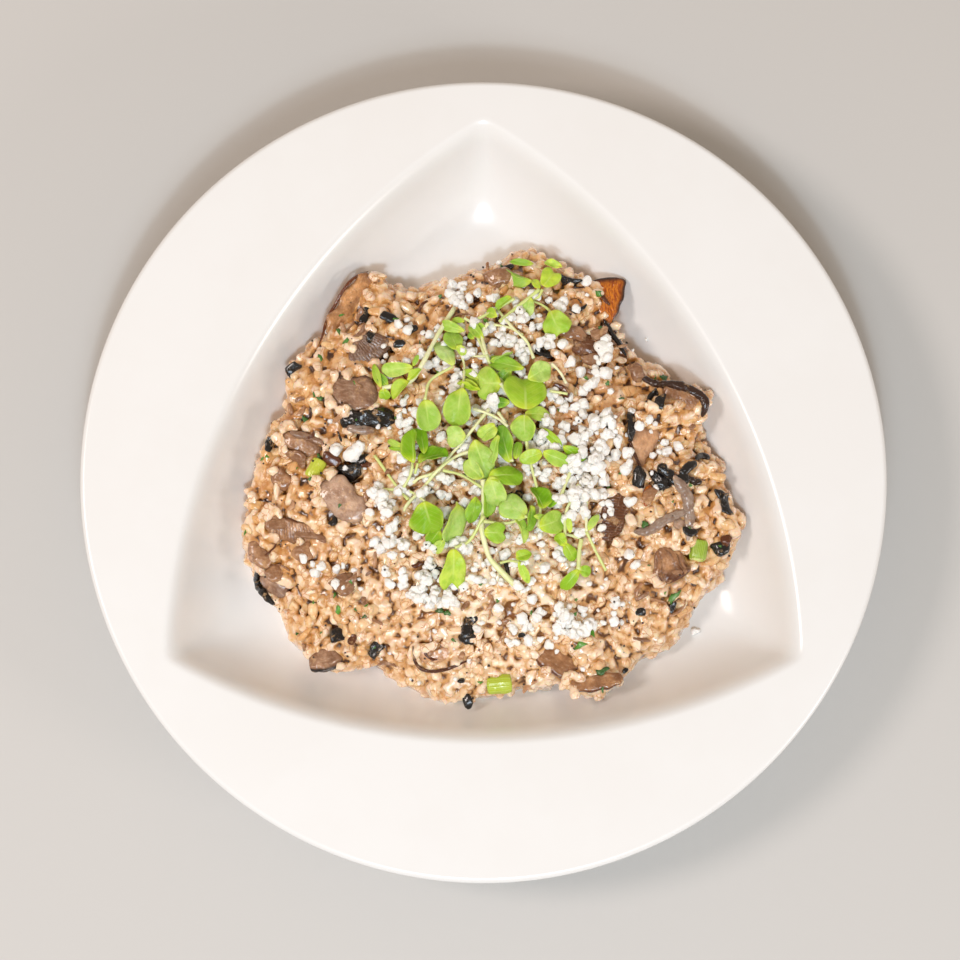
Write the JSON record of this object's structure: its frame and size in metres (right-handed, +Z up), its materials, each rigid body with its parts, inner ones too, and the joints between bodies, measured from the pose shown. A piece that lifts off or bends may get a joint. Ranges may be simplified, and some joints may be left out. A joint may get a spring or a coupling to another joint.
{
  "type": "plated mushroom risotto",
  "caption": "Creamy rice heaped with cooked mushroom slices, white cheese crumbs and microgreens in a round white plate with a three-cornered well.",
  "frame": {"origin": "middle of the plate at the height its foot stands on", "axes": "+Z up, +Y towards the upper corner of the three-cornered well, -Y towards the diner"},
  "size_m": [0.305, 0.305, 0.0479],
  "materials": {
    "white_glaze": "glossy white glaze",
    "creamed_rice": "moist cooked rice in a cream sauce",
    "brown_mushroom": "moist cooked mushroom",
    "dark_mushroom": "glossy black mushroom",
    "spring_onion": "moist green stalk",
    "leaf_green": "fresh soft leaf",
    "white_cheese": "dry white crumb",
    "green_herb": "chopped herb"
  },
  "bodies": {
    "root": {"plate": "white_glaze", "risotto": "creamed_rice", "microgreens": "leaf_green", "mushroom_long_edge": "brown_mushroom", "mushroom_curl_upper": "brown_mushroom", "mushroom_square": "brown_mushroom", "mushroom_dark_band": "dark_mushroom", "mushroom_pair": "brown_mushroom", "mushroom_cube": "brown_mushroom", "mushroom_pale": "brown_mushroom", "mushroom_curl_left": "brown_mushroom", "mushroom_nub": "brown_mushroom", "mushroom_cap_rim": "brown_mushroom", "mushroom_low_left": "brown_mushroom", "mushroom_hooked": "brown_mushroom", "mushroom_flake": "dark_mushroom", "mushroom_low_right": "brown_mushroom", "mushroom_low_strip": "brown_mushroom", "mushroom_fan": "brown_mushroom", "mushroom_wedge": "brown_mushroom", "mushroom_tangle": "dark_mushroom", "mushroom_ribbon": "dark_mushroom", "mushroom_dark_slab": "brown_mushroom", "mushroom_crescent": "brown_mushroom", "mushroom_amber": "brown_mushroom", "mushroom_pointed": "dark_mushroom", "mushroom_upper": "brown_mushroom", "onion_left": "spring_onion", "onion_right": "spring_onion", "onion_low": "spring_onion"}
  },
  "joints": []
}
